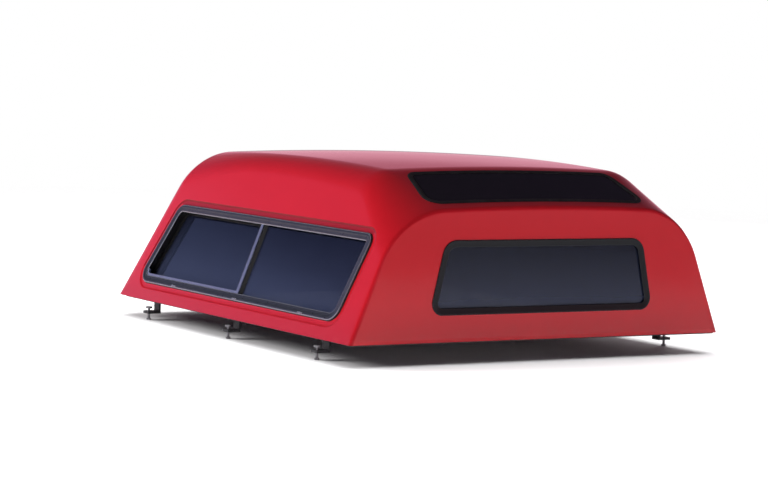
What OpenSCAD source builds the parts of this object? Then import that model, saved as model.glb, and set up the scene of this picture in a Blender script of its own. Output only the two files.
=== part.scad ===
// Mid-rise fibreglass truck cap for a 1.85 m pick-up box, as separate parts.
// Millimetres. Origin: centre of the bed-rail plane. +X to the cab, +Y left, +Z up.

/* [Shell] */
// Half width of the shell at the bed rails
half_width = 825; // [815:1:835]
// X of the vertical front wall
front_x = 940; // [930:1:950]
// X of the rear face at the bed rails
rear_x = -898; // [-908:1:-888]
// Lean of the rear face from vertical, degrees
rear_lean = 18.68; // [18:0.1:19.4]
// Inward lean of the side walls, mm per mm of height
side_lean = 0.40; // [0.38:0.005:0.42]
// Roof height on the centreline above the rails
roof_height = 627; // [622:1:632]
// Height of the front wall on the centreline
front_height = 484; // [480:1:488]
// Slope of the raised front ramp, mm per mm
ramp_slope = 0.401; // [0.39:0.005:0.415]
// Length over which the ramp blends into the roof
brow_blend = 14; // [8:1:24]
// Radius of the rolled rear edge
rear_roll = 60; // [56:1:62]
// Radius of the rolled front edge
front_roll = 14; // [12:1:18]
// Laminate thickness
wall = 6; // [5:0.5:7]
// Width of the base flange that sits on the rails
flange_width = 60; // [54:1:64]

/* [Side windows] */
// Width of the window frame's outside flange
frame_band = 30; // [26:1:32]
// Depth of the frame sleeve behind the shell skin
sleeve_depth = 54; // [52:1:58]
// Thickness of the panes
pane = 4; // [3:0.5:4]
// Screws around each inside clamp ring, per long edge
ring_screws = 6; // [4:1:8]

/* [Rear door] */
// Height of the hinge axis up the rear face
hinge_v = 550; // [548:1:552]
// Width of the door frame band
door_band = 34; // [30:1:36]
// Distance of each hinge from the centreline
hinge_u = 380; // [340:5:400]
// Height up the rear face of the struts' lower pivots
strut_low = 100; // [90:2:110]
// Height up the rear face of the struts' upper studs
strut_high = 440; // [430:2:450]

/* [Rail clamps] */
// Distance between neighbouring clamps along a rail
clamp_pitch = 660; // [620:10:680]
// Depth of the clamps below the rail plane
clamp_drop = 58; // [50:1:64]

/* [Hidden] */

$fn = 48;
right = 1;                        // side signs: local X of the rear face points right
left = -1;
side_angle = atan(side_lean);     // degrees
cos_side = cos(side_angle);
ramp_angle = atan(ramp_slope);    // degrees
sin_rear = sin(rear_lean);
cos_rear = cos(rear_lean);
length = front_x - rear_x;

red = [0.74, 0.05, 0.09];
black = [0.06, 0.06, 0.065];
rubber = [0.04, 0.04, 0.04];
dark_steel = [0.16, 0.16, 0.17];
grey = [0.5, 0.5, 0.52];
tint = [0.10, 0.13, 0.20, 0.75];
alu = [0.72, 0.73, 0.75];

// ---------- the shell's surface ----------

camber = 4.75e-5;                 // roof camber across the truck, 1/mm
roof_fall = 0.0039;               // slope of the roof line at x = 0, falling forward
roof_curve = 3.66e-5;             // curve of the roof line along the truck, 1/mm
shoulder_front = 300;             // shoulder radius at the front wall
shoulder_roof = 126;              // shoulder radius along the roof
shoulder_rear = 212;              // shoulder radius at the rear face
shoulder_fade = 0.35;             // share of the length where the rear radius fades out
arc_steps = 9;
crown_steps = 5;

function lerp(a, b, t) = a + (b - a) * t;
function clamp01(value) = max(0, min(1, value));
// smooth minimum of two heights over a blend length
function smooth_min(a, b, blend) =
  let (share = clamp01(0.5 + 0.5 * (b - a) / blend))
  b * (1 - share) + a * share - blend * share * (1 - share);
// crown height on the centreline
function crown_z(x) = smooth_min(roof_height - roof_fall * x - roof_curve * x * x,
  front_height + (front_x - x) * ramp_slope, brow_blend);
// shoulder radius at station t (0 rear, 1 front) with crown height z
function shoulder(t, z) =
  lerp(shoulder_front, shoulder_roof,
    clamp01((z - front_height) / (roof_height - front_height)))
  + (t < shoulder_fade
    ? (shoulder_rear - shoulder_roof) * pow(1 - t / shoulder_fade, 2) : 0);
// centre of the shoulder arc that touches the crown at y
function arc_centre(y, top, radius) =
  let (slope = 2 * camber * y, size = sqrt(1 + slope * slope))
  [y - radius * slope / size, top - camber * y * y - radius / size];
// y where the arc touches both crown and side wall, by iteration
function tangent_y(y, half, top, radius, steps) = steps == 0 ? y :
  let (centre = arc_centre(y, top, radius),
       error = half - side_lean * centre[1] - centre[0] - radius / cos_side)
  tangent_y(y + 0.9 * error, half, top, radius, steps - 1);
// half section [y, z] from the foot up to the centreline, moved inward by inward
function half_section(crown, shoulder_r, inward, foot) =
  let (half = half_width - inward / cos_side,
       radius = max(shoulder_r - inward, 4),
       top = crown - inward,
       y = tangent_y(half - side_lean * crown - radius * 0.6, half, top, radius, 40),
       centre = arc_centre(y, top, radius),
       end_angle = 90 - atan(2 * camber * y))
  concat([[half - side_lean * foot, foot]],
    [for (i = [0 : arc_steps]) let (a = lerp(side_angle, end_angle, i / arc_steps))
      centre + radius * [cos(a), sin(a)]],
    [for (i = [1 : crown_steps]) let (yy = y * (1 - i / crown_steps))
      [yy, top - camber * yy * yy]]);
function full_section(crown, shoulder_r, inward, foot) =
  let (half = half_section(crown, shoulder_r, inward, foot))
  concat([for (p = half) [-p[0], p[1]]], [for (i = [len(half) - 2 : -1 : 0]) half[i]]);
// stations along the body: [t, inward roll of the edge]
function stations(rear_r, front_r) = concat(
  [for (a = [90 : -11.25 : 0])
    [rear_r * (1 - sin(a)) / (length * cos_rear), rear_r * (1 - cos(a))]],
  [for (t = [0.07 : 0.06 : 0.79]) [t, 0]],
  [for (t = [0.805 : 0.0125 : 0.98]) [t, 0]],
  [for (a = [0 : 22.5 : 90])
    [1 - front_r * (1 - sin(a)) / length, front_r * (1 - cos(a))]]);
// ring of points at one station, moved inward
function ring(station, inward, foot) =
  let (t = station[0],
       back = rear_x + inward / cos_rear,
       crown = crown_z(lerp(rear_x, front_x, t)))
  [for (p = full_section(crown, shoulder(t, crown), inward + station[1], foot))
    [lerp(back + p[1] * tan(rear_lean), front_x - inward, t), p[0], p[1]]];
// triangles that join a stack of closed rings
function side_faces(count, size) = concat(
  [for (i = [0 : count - 2], j = [0 : size - 1]) let (k = (j + 1) % size, a = i * size)
    [a + size + k, a + size + j, a + j]],
  [for (i = [0 : count - 2], j = [0 : size - 1]) let (k = (j + 1) % size, a = i * size)
    [a + k, a + size + k, a + j]]);
// solid inside the shell's surface moved inward, cut flat at height foot
module body(inward, foot) {
  rings = [for (s = stations(rear_roll - inward, max(front_roll - inward, 2)))
    ring(s, inward, foot)];
  size = len(rings[0]);
  count = len(rings);
  faces = concat(side_faces(count, size),
    [[for (j = [size - 1 : -1 : 0]) j]],
    [[for (j = [0 : size - 1]) (count - 1) * size + j]]);
  polyhedron([for (r = rings, p = r) p], faces, convexity = 6);
}

// ---------- local frames ----------

// X along the truck, Y up the right side wall, Z out of it
module right_side()
  translate([0, -half_width, 0]) rotate([90 - side_angle, 0, 0]) children();
// the same frame on either side, mirrored for the left
module on_side(side)
  if (side == right) right_side() children();
  else mirror([0, 1, 0]) right_side() children();
// X to the right, Y up the rear face, Z out of it
module rear_face()
  translate([rear_x, 0, 0]) rotate([0, rear_lean, 0]) rotate([90, 0, -90]) children();
// a rear-face point in truck coordinates
function to_world(p) = [rear_x + p[1] * sin_rear - p[2] * cos_rear, -p[0],
  p[1] * cos_rear + p[2] * sin_rear];
// X to the left, Y up the ramp, Z out of it
module ramp_face()
  translate([front_x, 0, front_height]) rotate([0, ramp_angle, 0]) rotate([0, 0, 90])
    children();
// X to the left, Y up, Z forward, on the front wall
module front_face() translate([front_x, 0, 0]) rotate([90, 0, 90]) children();

// ---------- drawing helpers ----------

function unit(v) = v / norm(v);
// polygon with a radius at each corner
function rounded(points, radii, steps = 8) =
  let (count = len(points))
  [for (i = [0 : count - 1])
    let (corner = points[i], r = radii[i],
         before = unit(points[(i + count - 1) % count] - corner),
         after = unit(points[(i + 1) % count] - corner),
         half = acos(before * after) / 2,
         centre = corner + unit(before + after) * r / sin(half),
         start = corner + before * r / tan(half) - centre,
         start_angle = atan2(start[1], start[0]))
    for (k = [0 : steps]) let (a = start_angle + (180 - 2 * half) * k / steps)
      centre + r * [cos(a), sin(a)]];
// rounded trapezium centred on x = 0, from its half widths
function trapezium(half0, y0, half1, y1, r0, r1, steps = 8) =
  rounded([[-half0, y0], [half0, y0], [half1, y1], [-half1, y1]], [r0, r0, r1, r1], steps);
module slab(z0, z1) translate([0, 0, z0]) linear_extrude(z1 - z0) children();
module disc(r, z0, z1) translate([0, 0, z0]) cylinder(r = r, h = z1 - z0);
// rectangle between two x, in either order, and y0 < y1
module bar(x0, x1, y0, y1) translate([min(x0, x1), y0]) square([abs(x1 - x0), y1 - y0]);
module inset(points, inward) offset(delta = -inward) polygon(points);
module band(points, outer, inner) difference() {
  inset(points, outer);
  inset(points, inner);
}

// ---------- side windows ----------

sill = 71;                        // foot of the window, up the side wall
head = 411;                       // top of the window
side_outline = rounded([[-743, sill], [789, sill], [838, head], [-630, head]],
  [52, 62, 36, 57]);
split_x = 54;                     // where the fixed and the sliding half meet
lead_x = split_x + 34;            // leading edge of the sliding sash
fixed_z = -18;                    // inner face of the fixed pane
slide_z = -38;                    // inner face of the sliding pane
pane_gap = 0.15;                  // clearance on each face of a pane
sleeve_inset = 17.6;              // mullion's inset, just inside the sleeve
ring_mid = 7.5;                   // screw line, in from the window outline
// rows of ring screws: [height, first x, last x]
screw_rows = [[sill + ring_mid, -660, 720], [head - ring_mid, -610, 770]];
screw_spots = concat(
  [for (i = [0 : ring_screws - 1], row = screw_rows)
    [lerp(row[1], row[2], i / (ring_screws - 1)), row[0], 0]],
  [for (x = [-678.6, 806]) [x, (sill + head) / 2, 0]]);

module window_frame(side) color(black) on_side(side) {
  slab(2, 6) band(side_outline, 0, frame_band);
  slab(-sleeve_depth, 2.5) band(side_outline, 14, 17);
  slab(-sleeve_depth, 3 - sleeve_depth) band(side_outline, 16, 25);
}
module window_seal(side)
  color(rubber) on_side(side) slab(-1.85, 1.85) band(side_outline, 2, 12.8);
module screw_holes()
  for (spot = screw_spots) translate(spot) disc(2.2, -16, 1, $fn = 16);
module window_ring(side) color(black) on_side(side) difference() {
  slab(-12.6, -8.2) band(side_outline, -12, 13.5);
  screw_holes();
}
module window_screws(side) color(alu) on_side(side)
  for (spot = screw_spots) translate(spot) {
    disc(4.2, -15.2, -12.7, $fn = 24);
    disc(2, -12.8, -2.5, $fn = 16);
  }
module fixed_glass(side) color(tint) on_side(side)
  slab(fixed_z, fixed_z + pane) intersection() {
    inset(side_outline, 18);
    bar(split_x - 4, 900, 0, 500);
  }
module mullion(side) color(alu) on_side(side) difference() {
  union() {
    slab(fixed_z - 4, 1.8)
      bar(split_x - 9, split_x + 9, sill + sleeve_inset, head - sleeve_inset);
    // sill rail along the foot of the rear half, turned up at its corner
    slab(-6, 1.7) intersection() {
      band(side_outline, sleeve_inset, 39);
      bar(-900, split_x - 8, 0, 128);
    }
  }
  slab(fixed_z - pane_gap, fixed_z + pane + pane_gap)
    bar(split_x - 4.3, split_x + 40, 60, 430);
}
// part of the inset window outline to the rear of end_x
module rear_part(inward, end_x) intersection() {
  inset(side_outline, inward);
  bar(-900, end_x, 0, 500);
}
module sliding_outline() rear_part(26, lead_x - 16);
module sliding_glass(side)
  color(tint) on_side(side) slab(slide_z, slide_z + pane) sliding_outline();
module sash(side) color(alu) on_side(side) difference() {
  slab(slide_z - 4, slide_z + 8) difference() {
    rear_part(18, lead_x);
    rear_part(32, lead_x - 24);
  }
  slab(slide_z - pane_gap, slide_z + pane + pane_gap) offset(delta = 0.3) sliding_outline();
}
module sash_latch(side) color(black) on_side(side)
  translate([lead_x - 12, (sill + head) / 2, slide_z - 4]) {
    translate([0, 0, -5]) cylinder(r = 10, h = 4.85);
    // thumb lever hanging from its boss
    translate([0, 0, -10]) difference() {
      linear_extrude(5.5) union() {
        circle(r = 8);
        translate([-5, -36]) square([10, 36]);
        translate([0, -36]) circle(r = 5);
      }
      disc(2, -1, 2);
    }
  }
module screen_frame(side) color(black) on_side(side) difference() {
  slab(-50, -46) difference() {
    rear_part(18.5, split_x - 14);
    rear_part(32, split_x - 28);
  }
  slab(-48.6, -47.4) rear_part(26, split_x - 20);
}
module screen_mesh(side) color([0.15, 0.15, 0.15]) on_side(side)
  slab(-48.4, -47.6) rear_part(26.5, split_x - 20.5);

// ---------- shell ----------

ramp_outline = trapezium(496, 42, 456, 280, 56, 48);
front_outline = trapezium(500, 96, 440, 366, 45, 60);
// half width of the rear opening at a height up the rear face
function opening_half(y) = 711.4 - side_lean * cos_rear * (y + 20);
opening_foot = -80;
opening_head = 498;
opening_outline = trapezium(opening_half(opening_foot), opening_foot,
  opening_half(opening_head), opening_head, 5, 80, 10);
brake_loom_v = 549;               // loom hole, up the rear face
bolt_y = 774;                     // through-bolt holes, from the centreline

module bolt_spots() for (x = [-1, 1], y = [-1, 1])
  translate([x * clamp_pitch / 2, y * bolt_y, 0]) children();

// what the base flange leaves solid: open in the middle and at the tailgate
module base_flange() difference() {
  inner_half = half_width - flange_width;
  translate([-1500, -1000, -10]) cube([3000, 2000, 10 + wall]);
  translate([-2000, -inner_half, -20])
    cube([2000 + front_x - flange_width, 2 * inner_half, 60]);
  translate([-2000, -1200, -20]) cube([2000 + rear_x + 70, 2400, 60]);
}

// resize([0, 0, 0]) leaves every size as it is
module shell() color(red) resize([0, 0, 0]) difference() {
  union() {
    difference() {
      body(0, 0);
      difference() {
        body(wall, -8);
        base_flange();
      }
      for (side = [left, right]) on_side(side) slab(-2, 40) inset(side_outline, -22);
    }
    // flat panel moulded around each side window
    for (side = [left, right]) on_side(side) slab(-8, -2) inset(side_outline, -21.9);
  }
  for (side = [left, right]) on_side(side) {
    slab(-40, 40) inset(side_outline, 13);
    screw_holes();
  }
  ramp_face() slab(-60, 60) inset(ramp_outline, 8);
  front_face() slab(-40, 40) inset(front_outline, 10);
  rear_face() slab(-60, 60) polygon(opening_outline);
  // loom hole behind the high brake light
  rear_face() translate([0, brake_loom_v, 0]) disc(5, -60, 60, $fn = 24);
  bolt_spots() disc(6.5, -1, wall + 1, $fn = 40);
}

// lining cloth under the roof: each ring is the roof part of two nested sections
module headliner() color([0.45, 0.45, 0.46]) {
  places = [for (t = [0.12 : 0.06 : 0.78]) t];
  skip = 5;                       // section points left out at each end
  outer = [for (t = places) ring([t, 0], wall + 1.5, 0)];
  inner = [for (t = places) ring([t, 0], wall + 5, 0)];
  width = len(outer[0]) - 2 * skip;
  size = 2 * width;
  count = len(places);
  last = (count - 1) * size;
  points = [for (i = [0 : count - 1]) each concat(
    [for (j = [0 : width - 1]) outer[i][skip + j]],
    [for (j = [width - 1 : -1 : 0]) inner[i][skip + j]])];
  faces = concat(side_faces(count, size),
    [for (j = [0 : width - 2]) [size - 2 - j, j + 1, j]],
    [for (j = [0 : width - 2]) [size - 1 - j, size - 2 - j, j]],
    [for (j = [0 : width - 2]) [last + j + 1, last + size - 2 - j, last + j]],
    [for (j = [0 : width - 2]) [last + size - 2 - j, last + size - 1 - j, last + j]]);
  polyhedron(points, faces, convexity = 6);
}

// foam strip between flange and rails, open at the rear
module rail_seal() color(black) translate([0, 0, -5]) linear_extrude(4.9) difference() {
  outer_y = 812;
  strip = 30;
  inner_y = outer_y - strip;
  seal_front = front_x - 12;
  bar(rear_x + 80, seal_front, -outer_y, outer_y);
  bar(rear_x - 10, seal_front - strip, -inner_y, inner_y);
}

// ---------- rail clamps ----------

clamp_y = 775;
clamp_length = 44;
clamp_bolt_y = -14;               // bolt axis, outboard of clamp_y
pad_z = wall + 0.1;               // underside of the parts on top of the flange

// three clamps on each rail; local Y points inboard
module each_clamp() for (s = [-1, 1], i = [-1 : 1])
  translate([i * clamp_pitch, s * clamp_y, 0]) rotate([0, 0, s < 0 ? 0 : 180]) children();
// C section, open outboard
module clamp_bodies() color(dark_steel) each_clamp() difference() {
  translate([-clamp_length / 2, 0, 0]) rotate([90, 0, 90]) linear_extrude(clamp_length)
    difference() {
      union() {
        translate([-28, pad_z]) square([58, 8]);
        translate([20, -clamp_drop]) square([8, clamp_drop + wall + 4]);
        translate([-28, -clamp_drop]) square([56, 10]);
      }
      translate([28, pad_z]) square([2, 3]);
    }
  translate([0, clamp_bolt_y, -clamp_drop - 1]) cylinder(r = 5.05, h = 12);
}
module clamp_bolts() color(alu) each_clamp() translate([0, clamp_bolt_y, -clamp_drop]) {
  disc(9, -26, -19, $fn = 6);
  disc(5, -20, 21);
  // swivel pad
  disc(13, 20.1, 27.1);
}
// flanged sleeves that line the through-bolt holes
module bolt_bushings() color(grey) bolt_spots() difference() {
  union() {
    cylinder(r = 6.2, h = wall + 1);
    disc(9, pad_z, pad_z + 2.4);
  }
  disc(4.5, -1, wall + 5);
}

// ---------- front glass ----------

// layer between two offsets of the shell's surface, cut to a ramp outline
module ramp_layer(outer, inner) intersection() {
  difference() {
    body(outer, 100);
    body(inner, 99);
  }
  ramp_face() slab(-60, 60) children();
}
module ramp_window_glass()
  color(tint) resize([0, 0, 0]) ramp_layer(0, 4) inset(ramp_outline, 10.2);
// H-section rubber: outside lip, web through the opening, inside lip
module ramp_window_gasket() color(black) resize([0, 0, 0]) union() {
  ramp_layer(-3.4, -0.3) band(ramp_outline, -2, 18);
  ramp_layer(-1, 7) band(ramp_outline, 8.3, 9.9);
  ramp_layer(6.4, 9.2) band(ramp_outline, -2, 16);
}
// outside flange and the sleeve behind it
module front_window_frame() color(black) front_face() {
  slab(0.3, 4) band(front_outline, 0, 26);
  slab(-24, 0.6) band(front_outline, 11, 14);
}
module front_window_glass() color(tint) front_face() slab(-10, -6) inset(front_outline, 14.5);
module front_window_ring()
  color(black) front_face() slab(-11, -6.3) band(front_outline, -8, 10.6);

// ---------- rear door ----------

door_outline = trapezium(752, -20, 541, 536, 34, 118, 10);
door_foot = 55;                   // top of the frame's wide foot band
glass_bite = 8;                   // how far the glass runs into the frame
bead_width = 8;
door_back = 8.9;                  // inner end of parts fixed against the door
handle_v = 17.5;                  // handle axis up the rear face

module foot_bar(top) bar(-800, 800, -30, top);
module handle_at() rear_face() translate([0, handle_v, 0]) children();
module glass_outline(growth) offset(delta = growth) difference() {
  inset(door_outline, door_band - glass_bite);
  foot_bar(door_foot - glass_bite);
}
module door_frame() color(black) rear_face() difference() {
  slab(9, 22) union() {
    band(door_outline, 0, door_band);
    intersection() {
      inset(door_outline, 0);
      foot_bar(door_foot);
    }
  }
  slab(12.8, 17.2) glass_outline(0.4);
  translate([0, handle_v, 0]) cylinder(r = 7, h = 40);
}
module door_glass() color(tint) rear_face() slab(13, 17) glass_outline(0);
module door_glazing_bead() color([0.03, 0.03, 0.03]) rear_face() slab(17.3, 20)
  difference() {
    difference() {
      inset(door_outline, door_band + 0.3);
      foot_bar(door_foot + 0.3);
    }
    difference() {
      inset(door_outline, door_band + bead_width);
      foot_bar(door_foot + bead_width);
    }
  }
module door_weatherstrip() color(rubber) rear_face() slab(0.6, 8.8) band(door_outline, 4, 14);

// ---------- hinges ----------

hinge_out = 15;                   // hinge axis, out from the rear face
knuckle_r = 10;
pin_r = 4;

// cylinder along the hinge axis
module on_axis(x0, x1, r)
  translate([x0, hinge_v, hinge_out]) rotate([0, 90, 0]) cylinder(r = r, h = x1 - x0);
module pin_hole() on_axis(-40, 40, pin_r + 0.05);
module each_hinge() rear_face() for (s = [-1, 1]) translate([s * hinge_u, 0, 0]) children();
module hinge_brackets() color(black) each_hinge() difference() {
  union() {
    slab(0.3, 4) bar(-30, 30, hinge_v - 9, hinge_v + 11);
    for (x = [-29, 17]) {
      on_axis(x, x + 12, knuckle_r);
      slab(0.3, hinge_out) bar(x, x + 12, hinge_v - 7, hinge_v + 7);
    }
  }
  pin_hole();
}
module hinge_leaves() color(black) each_hinge() difference() {
  union() {
    on_axis(-16, 16, knuckle_r);
    slab(22.15, 25) bar(-16, 16, 520, hinge_v);
    slab(22.15, 25) bar(-28, 28, 494, 534);
  }
  pin_hole();
}
module hinge_pins() color(alu) each_hinge() {
  on_axis(-31, 31, pin_r);
  for (x = [-33, 29.2]) on_axis(x, x + 3.8, 6);
}

// ---------- handle and latch ----------

spindle_r = 6;
lock_r = 5;
cam_pin = 18 * cos(45);           // cam pins, across and up from the handle axis
rod_back = -28;                   // faces of the latch rods, out from the rear face
rod_front = -24;
// height of a latch rod: the left one runs above the axis, the right one below
function rod_v(side) = handle_v - side * 15;

module handle_base() color(black) handle_at() difference() {
  slab(22.2, 27) polygon(trapezium(40, -24, 40, 24, 12, 12));
  cylinder(r = spindle_r + 0.05, h = 60);
}
module handle_lever() color([0.1, 0.1, 0.1]) handle_at() difference() {
  union() {
    disc(spindle_r, -16, 40);
    translate([0, 0, 28]) cylinder(r1 = 13, r2 = 11, h = 14);
    slab(34, 48) polygon(trapezium(46, -8, 46, 8, 7.5, 7.5));
  }
  disc(lock_r + 0.05, 33.9, 53.9);
}
module lock_cylinder() color(alu) handle_at() translate([0, 0, 34]) difference() {
  cylinder(r = lock_r, h = 14.6);
  // key slot
  translate([-0.5, -3, 10]) cube([1, 6, 6]);
}
module handle_cam() color(alu) handle_at() union() {
  disc(26, -20, -16);
  for (s = [-1, 1]) translate([s * cam_pin, s * cam_pin, 0]) disc(3, -30, -19);
}
// rectangle around a rod's cam pin, given its half sizes and its drop from the axis
module at_cam_pin(side, half_x, half_y, drop) {
  x = -side * cam_pin;
  y = handle_v - side * drop;
  bar(x - half_x, x + half_x, y - half_y, y + half_y);
}
// rod with a slotted end over one cam pin, reaching out to tip
module latch_rod(side, tip) color(alu) rear_face() difference() {
  slab(rod_back, rod_front) union() {
    bar(-side * (cam_pin + 11), side * tip, rod_v(side) - 6, rod_v(side) + 6);
    at_cam_pin(side, 11, 10.5, 16.5);
  }
  slab(rod_back - 1, rod_front + 1) at_cam_pin(side, 3.8, 8.2, 14.5);
}
// extended tips reach behind the strikers on the jambs
module latch_rod_right() latch_rod(right, 697);
module latch_rod_left() latch_rod(left, 686);
module rod_guide(x, y) difference() {
  slab(-31, door_back) bar(x - 7, x + 7, y - 8.2, y + 9.5);
  slab(rod_back - 0.15, rod_front + 0.15) bar(x - 20, x + 20, y - 6.15, y + 6.15);
  slab(-20, 5) bar(x - 20, x + 20, y - 6, y + 6);
}
module rod_guides() color(grey) rear_face()
  for (side = [left, right], x = [120, 560]) rod_guide(side * x, rod_v(side));

// [side, inner x, post's outer x, foot's outer x, reach below the rod,
//  post's reach above it, foot's reach above it]
strikers = [[right, 705, 725, 736, 2, 16, 38], [left, 695, 716, 734, 9, 9, 30]];
module latch_strikers() color(alu) rear_face() for (row = strikers) {
  side = row[0];
  y = rod_v(side);
  slab(-23.6, -6.1) bar(side * row[1], side * row[2], y - row[4], y + row[5]);
  slab(-9, -6.1) bar(side * row[1], side * row[3], y - row[4], y + row[6]);
}

// ---------- gas struts ----------

door_open = 70;                   // full swing of the rear door, degrees
strut_in = 24;                    // strut ends, inboard of the opening's edge
strut_z = -24;                    // strut ends, out from the rear face
strut_rod_r = 4;
pivot_r = 4;

function strut_point(side, y) = to_world([side * (opening_half(y) - strut_in), y, strut_z]);
function low_end(side) = strut_point(side, strut_low);
function high_end(side) = strut_point(side, strut_high);
strut_len = norm(high_end(right) - low_end(right));
tube_len = strut_len - 88;
// where a point on the door goes when the door is fully open
function opened(p) =
  let (hinge = to_world([0, hinge_v, hinge_out]), x = p[0] - hinge[0], z = p[2] - hinge[2])
  [hinge[0] + x * cos(door_open) + z * sin(door_open), p[1],
   hinge[2] - x * sin(door_open) + z * cos(door_open)];
// the strut turns about this axis at its low pivot
function turn_axis(side) = side * unit(cross(high_end(side) - low_end(side),
  opened(high_end(side)) - low_end(side)));
// place children at the low pivot with Z along a direction
module aim(side, way)
  translate(low_end(side)) rotate([0, acos(way[2] / norm(way)), atan2(way[1], way[0])])
    children();
module along(side) aim(side, high_end(side) - low_end(side)) children();
// Z along the pivot axis
module pivot_at(side) aim(side, turn_axis(side)) children();

module strut_tube(side) color(black) difference() {
  union() {
    along(side) disc(9, 14, tube_len);
    along(side) disc(4.2, 4, 15);
    pivot_at(side) disc(8, -4, 4);
  }
  along(side) disc(strut_rod_r + 0.1, 30, tube_len + 1);
  along(side) disc(7.5, 34, tube_len - 16);
  pivot_at(side) disc(pivot_r + 0.05, -20, 20);
}
// rod with its piston and the ball at its upper end
module strut_rod(side) color([0.8, 0.81, 0.83]) {
  along(side) disc(strut_rod_r, 60, strut_len - 2);
  along(side) disc(7.4, 60, 68);
  translate(high_end(side)) sphere(r = 7);
}
// plate on the rear face between two distances outboard of the opening's edge
module edge_plate(side, y, from, to, half_height, z0, z1) {
  edge = opening_half(y);
  rear_face() slab(z0, z1)
    bar(side * (edge + from), side * (edge + to), y - half_height, y + half_height);
}
module strut_pivots() color(dark_steel) for (side = [left, right]) {
  pivot_at(side) disc(pivot_r, -5, 6);
  pivot_at(side) disc(10, 4.6, 9);
  pivot_at(side) disc(6, -7.5, -4.4);
  edge_plate(side, strut_low, -16.8, -12.3, 10, -33, -6.1);
  edge_plate(side, strut_low, -16.8, 34, 14, -9, -6.1);
}
module strut_studs() color(dark_steel) for (side = [left, right]) {
  edge_plate(side, strut_high, -9, -5, 9, -33, door_back);
  edge_plate(side, strut_high, -9, 19, 13, 4.5, door_back);
  rear_face() translate([side * (opening_half(strut_high) - 14.4), strut_high, strut_z])
    rotate([0, side * 90, 0]) cylinder(r = 4, h = 7);
}

// ---------- lights and wiring ----------

dome_top = crown_z(0) - wall - 6.4;

function brake_pocket(gap) = trapezium(80 - gap, 544 + gap, 76 - gap, 560 - gap, 2, 4);
module brake_light_housing() color(black) rear_face() difference() {
  slab(0.3, 16) polygon(trapezium(85, 541, 80, 563, 3, 6));
  slab(6, 17) polygon(brake_pocket(0));
}
module brake_light_lens() color([0.6, 0.02, 0.02, 0.85]) rear_face()
  slab(12, 17.5) polygon(brake_pocket(0.3));

function dome_pocket(gap) =
  let (x0 = -54 + gap, x1 = 30 - gap, y = 39 - gap)
  rounded([[x0, -y], [x1, -y], [x1, y], [x0, y]], [10, 10, 4, 4]);
module dome_light_base() color([0.85, 0.85, 0.83]) translate([0, 0, dome_top - 16])
  difference() {
    linear_extrude(15.8) polygon(trapezium(60, -45, 60, 45, 14, 14));
    slab(-1, 8) polygon(dome_pocket(0));
    // switch well
    translate([36, -12, -1]) cube([16, 24, 12]);
  }
module dome_light_lens() color([0.95, 0.95, 0.92, 0.6]) translate([0, 0, dome_top - 19])
  linear_extrude(6) polygon(dome_pocket(0.4));
// rocker and its cross pin
module dome_light_switch() color([0.1, 0.1, 0.1])
  translate([44, 0, dome_top - 12]) rotate([0, -90, 0]) {
    slab(-7, 7)
      polygon([[-7, -1], [-4, -10], [3, -8], [4, 0], [3, 8], [-4, 10], [-7, 1]]);
    disc(1.5, -7.8, 7.8);
  }

// flat loom [x, z] from the dome light, along the roof, to the high brake light
loom_size = 6;
loom_path = [for (p = [[-60.5, 0, dome_top - 8], [-640, 0, crown_z(-640) - 20],
  to_world([0, brake_loom_v, -14]), to_world([0, brake_loom_v, 0.2])]) [p[0], p[2]]];
// normal of a loom segment
function loom_normal(i) =
  let (way = unit(loom_path[i + 1] - loom_path[i])) [-way[1], way[0]];
// offset direction at a loom point, mitred at the bends
function miter(i) = i == 0 ? loom_normal(0) : i == 3 ? loom_normal(2) :
  let (middle = unit(loom_normal(i - 1) + loom_normal(i))) middle / (middle * loom_normal(i));
module wiring_loom() color(black)
  translate([0, loom_size / 2, 0]) rotate([90, 0, 0]) linear_extrude(loom_size)
    polygon(concat(
      [for (i = [0 : 3]) loom_path[i] + loom_size / 2 * miter(i)],
      [for (i = [3 : -1 : 0]) loom_path[i] - loom_size / 2 * miter(i)]));

shell();
headliner();
rail_seal();
clamp_bodies();
clamp_bolts();
bolt_bushings();
ramp_window_gasket();
ramp_window_glass();
front_window_frame();
front_window_glass();
front_window_ring();
window_frame(right);  // right_window_frame
window_seal(right);  // right_window_seal
window_ring(right);  // right_window_ring
window_screws(right);  // right_window_screws
fixed_glass(right);  // right_fixed_glass
mullion(right);  // right_mullion
sliding_glass(right);  // right_sliding_glass
sash(right);  // right_sash
sash_latch(right);  // right_sash_latch
screen_frame(right);  // right_screen_frame
screen_mesh(right);  // right_screen_mesh
window_frame(left);  // left_window_frame
window_seal(left);  // left_window_seal
window_ring(left);  // left_window_ring
window_screws(left);  // left_window_screws
fixed_glass(left);  // left_fixed_glass
mullion(left);  // left_mullion
sliding_glass(left);  // left_sliding_glass
sash(left);  // left_sash
sash_latch(left);  // left_sash_latch
screen_frame(left);  // left_screen_frame
screen_mesh(left);  // left_screen_mesh
door_frame();
door_glass();
door_glazing_bead();
door_weatherstrip();
hinge_brackets();
hinge_leaves();
hinge_pins();
handle_base();
handle_lever();
handle_cam();
lock_cylinder();
latch_rod_right();
latch_rod_left();
rod_guides();
latch_strikers();
strut_tube(right);  // strut_tube_right
strut_tube(left);  // strut_tube_left
strut_rod(right);  // strut_rod_right
strut_rod(left);  // strut_rod_left
strut_pivots();
strut_studs();
brake_light_housing();
brake_light_lens();
dome_light_base();
dome_light_lens();
dome_light_switch();
wiring_loom();
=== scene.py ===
import math

import bmesh
import bpy
import numpy as np
from mathutils import Matrix, Vector
from mathutils.bvhtree import BVHTree

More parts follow.
